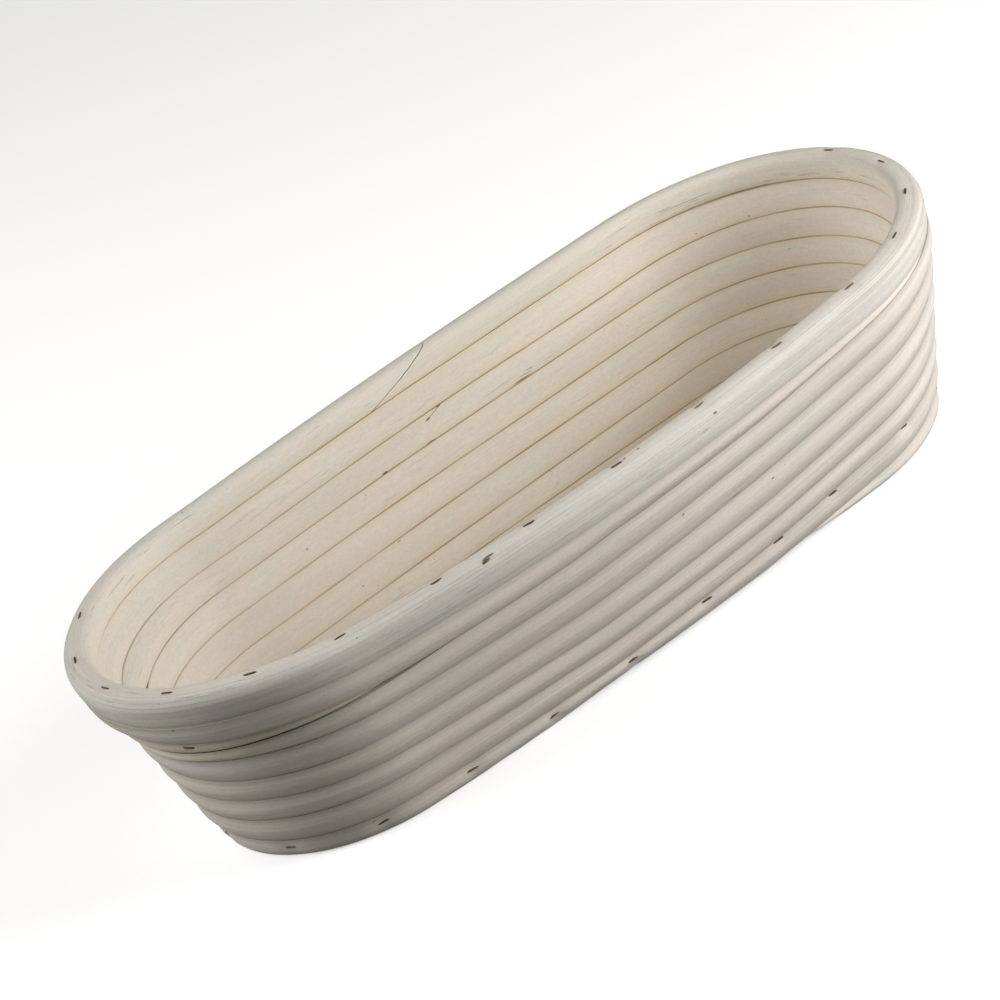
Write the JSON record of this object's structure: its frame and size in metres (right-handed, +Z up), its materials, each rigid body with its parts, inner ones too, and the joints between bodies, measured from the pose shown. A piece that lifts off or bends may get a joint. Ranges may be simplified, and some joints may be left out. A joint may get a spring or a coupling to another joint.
{
  "type": "proofing basket",
  "caption": "Long oval bread proofing basket of stapled round rattan cane, with a flat spiral base, a flared coiled wall and a separate rim turn.",
  "frame": {"origin": "centre of the basket's footprint, on the surface that it stands on", "axes": "+X along the basket, +Y towards the back, where the rim's joint is, +Z up out of the basket's mouth"},
  "size_m": [0.2958, 0.143, 0.0689],
  "materials": {
    "wall_cane": "matte",
    "rim_cane": "matte",
    "base_cane": "matte",
    "staple": "satin"
  },
  "bodies": {
    "root": {"base_core": "base_cane", "base_cane": "base_cane", "lower_wall_cane": "wall_cane", "upper_wall_cane": "wall_cane", "rim_cane": "rim_cane", "rim_staple_01": "staple", "rim_staple_02": "staple", "rim_staple_03": "staple", "rim_staple_04": "staple", "rim_staple_05": "staple", "rim_staple_06": "staple", "rim_staple_07": "staple", "rim_staple_08": "staple", "rim_staple_09": "staple", "rim_staple_10": "staple", "rim_staple_11": "staple", "rim_staple_12": "staple", "rim_staple_13": "staple", "rim_staple_14": "staple", "rim_staple_15": "staple", "rim_staple_16": "staple", "rim_staple_17": "staple", "rim_staple_18": "staple", "rim_staple_19": "staple", "rim_staple_20": "staple", "rim_staple_21": "staple", "rim_staple_22": "staple", "rim_staple_23": "staple", "rim_staple_24": "staple", "rim_staple_25": "staple", "rim_staple_26": "staple", "foot_staple_01": "staple", "foot_staple_02": "staple", "foot_staple_03": "staple", "foot_staple_04": "staple", "foot_staple_05": "staple", "foot_staple_06": "staple", "foot_staple_07": "staple", "foot_staple_08": "staple", "foot_staple_09": "staple", "foot_staple_10": "staple", "foot_staple_11": "staple", "foot_staple_12": "staple", "foot_staple_13": "staple", "foot_staple_14": "staple", "foot_staple_15": "staple", "foot_staple_16": "staple", "foot_staple_17": "staple", "foot_staple_18": "staple", "foot_staple_19": "staple", "foot_staple_20": "staple"}
  },
  "joints": []
}
